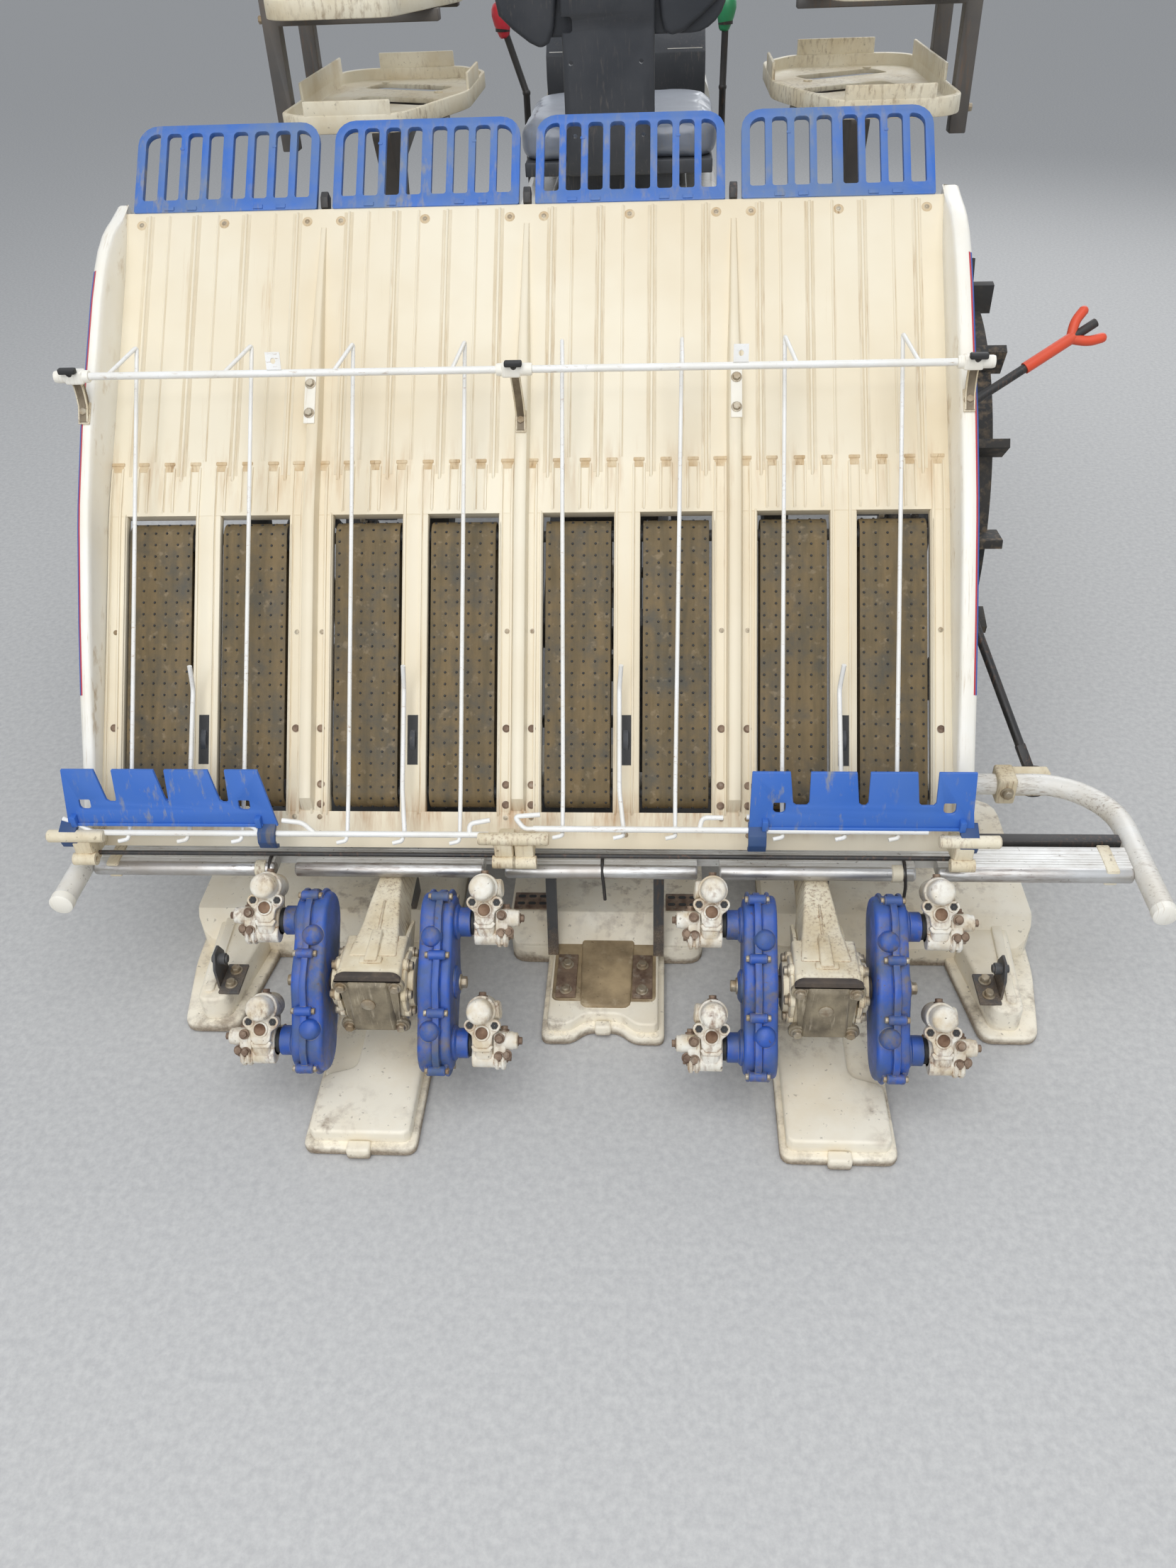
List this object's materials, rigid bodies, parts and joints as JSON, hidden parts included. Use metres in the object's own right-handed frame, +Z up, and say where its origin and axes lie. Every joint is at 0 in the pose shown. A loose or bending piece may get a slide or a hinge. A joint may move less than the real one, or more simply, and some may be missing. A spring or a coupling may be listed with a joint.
{
  "type": "four-row riding rice transplanter",
  "caption": "Riding rice transplanter with a slanted seedling table on belts, planting rotors, floats and a lift linkage behind a light four-wheel chassis.",
  "frame": {"origin": "on the ground, below the middle of the machine's width and length", "axes": "+X to the machine's right, +Y forward, +Z up"},
  "size_m": [1.524, 2.598, 1.3395],
  "materials": {
    "frame_paint": "satin dark grey enamel, scuffed",
    "cream_paint": "gloss cream enamel with rust at the bolts",
    "cream_plastic": "aged ivory plastic, dusty",
    "cover_paint": "gloss off-white enamel",
    "blue_paint": "gloss blue enamel",
    "blue_plastic": "faded blue plastic",
    "belt": "olive brown ribbed rubber, stained",
    "tyre": "black rubber on steel rings",
    "bright_steel": "plated steel, dull",
    "rail_aluminium": "extruded, scratched",
    "pipe_white": "gloss white enamel, muddy",
    "seat_vinyl": "smooth dark grey vinyl",
    "dark_plastic": "grained dark grey plastic",
    "step_mat": "ribbed rubber mat",
    "cast_grey": "cast, oily",
    "black_steel": "satin black enamel",
    "lamp_glass": "clear lens"
  },
  "bodies": {
    "chassis": {"frame_rails": "frame_paint", "rear_axle": "frame_paint", "front_axle": "frame_paint", "transmission": "cast_grey", "engine": "cast_grey", "step_floor": "step_mat", "bonnet": "cover_paint", "lamps": "lamp_glass", "dash": "dark_plastic", "seat_base": "cover_paint", "seat_pan": "dark_plastic", "seat_cushion": "seat_vinyl", "seat_back": "dark_plastic", "levers": "black_steel", "rack_left": "black_steel", "rack_right": "black_steel", "rack_trays": "cream_plastic", "front_guard": "frame_paint"},
    "steering": {"steering_wheel": "dark_plastic"},
    "knuckle_left": {"knuckle_left": "frame_paint"},
    "knuckle_right": {"knuckle_right": "frame_paint"},
    "front_wheel_left": {"front_wheel_left": "tyre"},
    "front_wheel_right": {"front_wheel_right": "tyre"},
    "rear_wheel_left": {"rear_wheel_left": "tyre"},
    "rear_wheel_right": {"rear_wheel_right": "tyre"},
    "lower_link": {"lower_link": "frame_paint"},
    "upper_link": {"upper_link": "frame_paint"},
    "lift_barrel": {"lift_barrel": "cast_grey"},
    "lift_rod": {"lift_rod": "bright_steel"},
    "planter": {"hitch_frame": "frame_paint", "main_beam": "frame_paint", "gear_cases": "cream_paint", "slide_rail": "rail_aluminium", "rail_lips": "rail_aluminium", "guard_pipe": "pipe_white", "float_left": "cream_plastic", "float_centre": "cream_plastic", "float_right": "cream_plastic", "table_posts": "frame_paint"},
    "table": {"table_panel": "cream_plastic", "table_frame": "frame_paint", "belts": "belt", "grids": "blue_plastic", "mat_bar": "bright_steel", "lower_bar": "cream_plastic"},
    "marker_left": {"marker_left": "black_steel"},
    "marker_right": {"marker_right": "black_steel"},
    "rotor_1": {"rotor_1": "blue_paint"},
    "arm_1_upper": {"arm_1_upper": "cream_paint"},
    "arm_1_lower": {"arm_1_lower": "cream_paint"},
    "rotor_2": {"rotor_2": "blue_paint"},
    "arm_2_upper": {"arm_2_upper": "cream_paint"},
    "arm_2_lower": {"arm_2_lower": "cream_paint"},
    "rotor_3": {"rotor_3": "blue_paint"},
    "arm_3_upper": {"arm_3_upper": "cream_paint"},
    "arm_3_lower": {"arm_3_lower": "cream_paint"},
    "rotor_4": {"rotor_4": "blue_paint"},
    "arm_4_upper": {"arm_4_upper": "cream_paint"},
    "arm_4_lower": {"arm_4_lower": "cream_paint"}
  },
  "joints": [
    {"name": "lift", "type": "hinge", "parent": "chassis", "child": "lower_link", "pos_m": [0, -0.221, 0.45], "axis": [-1, 0, 0], "range_deg": [0, 45]},
    {"name": "upper_link_pivot", "type": "hinge", "parent": "chassis", "child": "upper_link", "pos_m": [0, -0.221, 0.61], "axis": [-1, 0, 0], "range_deg": [0, 45]},
    {"name": "planter_level", "type": "hinge", "parent": "lower_link", "child": "planter", "pos_m": [0, -0.69915, 0.30381], "axis": [-1, 0, 0], "range_deg": [-45, 0]},
    {"name": "barrel_pivot", "type": "hinge", "parent": "chassis", "child": "lift_barrel", "pos_m": [0, -0.187, 0.242], "axis": [-1, 0, 0], "range_deg": [0, 21.3]},
    {"name": "rod_slide", "type": "slide", "parent": "lift_barrel", "child": "lift_rod", "axis": [0, -0.7977, 0.6031], "range_m": [0, 0.0965]},
    {"name": "steer_left", "type": "hinge", "parent": "chassis", "child": "knuckle_left", "pos_m": [-0.5, 0.849, 0.29642], "axis": [0, 0, 1], "range_deg": [-40, 40]},
    {"name": "steer_right", "type": "hinge", "parent": "chassis", "child": "knuckle_right", "pos_m": [0.5, 0.849, 0.29642], "axis": [0, 0, 1], "range_deg": [-40, 40]},
    {"name": "steering_wheel_turn", "type": "hinge", "parent": "chassis", "child": "steering", "pos_m": [0, 0.859, 1.055], "axis": [0, -0.5, 0.866], "range_deg": [-240, 240]},
    {"name": "front_wheel_left_spin", "type": "hinge", "parent": "knuckle_left", "child": "front_wheel_left", "pos_m": [-0.595, 0.849, 0.29642], "axis": [1, 0, 0], "continuous": true},
    {"name": "rear_wheel_left_spin", "type": "hinge", "parent": "chassis", "child": "rear_wheel_left", "pos_m": [-0.6, -0.051, 0.39858], "axis": [1, 0, 0], "continuous": true},
    {"name": "front_wheel_right_spin", "type": "hinge", "parent": "knuckle_right", "child": "front_wheel_right", "pos_m": [0.595, 0.849, 0.29642], "axis": [1, 0, 0], "continuous": true},
    {"name": "rear_wheel_right_spin", "type": "hinge", "parent": "chassis", "child": "rear_wheel_right", "pos_m": [0.6, -0.051, 0.39858], "axis": [1, 0, 0], "continuous": true},
    {"name": "table_traverse", "type": "slide", "parent": "planter", "child": "table", "axis": [1, 0, 0], "range_m": [0, 0.23]},
    {"name": "rotor_1_spin", "type": "hinge", "parent": "planter", "child": "rotor_1", "pos_m": [-0.3, -1.138, 0.178], "axis": [1, 0, 0], "continuous": true},
    {"name": "arm_1_upper_spin", "type": "hinge", "parent": "rotor_1", "child": "arm_1_upper", "pos_m": [-0.45, -1.08245, 0.23695], "axis": [1, 0, 0], "continuous": true},
    {"name": "arm_1_lower_spin", "type": "hinge", "parent": "rotor_1", "child": "arm_1_lower", "pos_m": [-0.45, -1.19355, 0.11905], "axis": [1, 0, 0], "continuous": true},
    {"name": "rotor_2_spin", "type": "hinge", "parent": "planter", "child": "rotor_2", "pos_m": [-0.3, -1.138, 0.178], "axis": [1, 0, 0], "continuous": true},
    {"name": "arm_2_upper_spin", "type": "hinge", "parent": "rotor_2", "child": "arm_2_upper", "pos_m": [-0.15, -1.08245, 0.23695], "axis": [1, 0, 0], "continuous": true},
    {"name": "arm_2_lower_spin", "type": "hinge", "parent": "rotor_2", "child": "arm_2_lower", "pos_m": [-0.15, -1.19355, 0.11905], "axis": [1, 0, 0], "continuous": true},
    {"name": "rotor_3_spin", "type": "hinge", "parent": "planter", "child": "rotor_3", "pos_m": [0.3, -1.138, 0.178], "axis": [1, 0, 0], "continuous": true},
    {"name": "arm_3_upper_spin", "type": "hinge", "parent": "rotor_3", "child": "arm_3_upper", "pos_m": [0.15, -1.08245, 0.23695], "axis": [1, 0, 0], "continuous": true},
    {"name": "arm_3_lower_spin", "type": "hinge", "parent": "rotor_3", "child": "arm_3_lower", "pos_m": [0.15, -1.19355, 0.11905], "axis": [1, 0, 0], "continuous": true},
    {"name": "rotor_4_spin", "type": "hinge", "parent": "planter", "child": "rotor_4", "pos_m": [0.3, -1.138, 0.178], "axis": [1, 0, 0], "continuous": true},
    {"name": "arm_4_upper_spin", "type": "hinge", "parent": "rotor_4", "child": "arm_4_upper", "pos_m": [0.45, -1.08245, 0.23695], "axis": [1, 0, 0], "continuous": true},
    {"name": "arm_4_lower_spin", "type": "hinge", "parent": "rotor_4", "child": "arm_4_lower", "pos_m": [0.45, -1.19355, 0.11905], "axis": [1, 0, 0], "continuous": true},
    {"name": "marker_left_swing", "type": "hinge", "parent": "planter", "child": "marker_left", "pos_m": [-0.65, -0.793, 0.262], "axis": [0, -0.766, 0.6428], "range_deg": [0, 107]},
    {"name": "marker_right_swing", "type": "hinge", "parent": "planter", "child": "marker_right", "pos_m": [0.65, -0.793, 0.262], "axis": [0, 0.766, -0.6428], "range_deg": [0, 107]}
  ],
  "couplings": [
    {"joint": "upper_link_pivot", "follows": "lift", "ratio": 1},
    {"joint": "planter_level", "follows": "lift", "ratio": -1},
    {"joint": "barrel_pivot", "follows": "lift", "ratio": 0.471},
    {"joint": "rod_slide", "follows": "lift", "m_per_rad": 0.1222},
    {"joint": "steer_right", "follows": "steer_left", "ratio": 1},
    {"joint": "steering_wheel_turn", "follows": "steer_left", "ratio": 6},
    {"joint": "arm_1_upper_spin", "follows": "rotor_1_spin", "ratio": -1},
    {"joint": "arm_1_lower_spin", "follows": "rotor_1_spin", "ratio": -1},
    {"joint": "rotor_2_spin", "follows": "rotor_1_spin", "ratio": 1},
    {"joint": "arm_2_upper_spin", "follows": "rotor_1_spin", "ratio": -1},
    {"joint": "arm_2_lower_spin", "follows": "rotor_1_spin", "ratio": -1},
    {"joint": "rotor_3_spin", "follows": "rotor_1_spin", "ratio": 1},
    {"joint": "arm_3_upper_spin", "follows": "rotor_1_spin", "ratio": -1},
    {"joint": "arm_3_lower_spin", "follows": "rotor_1_spin", "ratio": -1},
    {"joint": "rotor_4_spin", "follows": "rotor_1_spin", "ratio": 1},
    {"joint": "arm_4_upper_spin", "follows": "rotor_1_spin", "ratio": -1},
    {"joint": "arm_4_lower_spin", "follows": "rotor_1_spin", "ratio": -1}
  ]
}
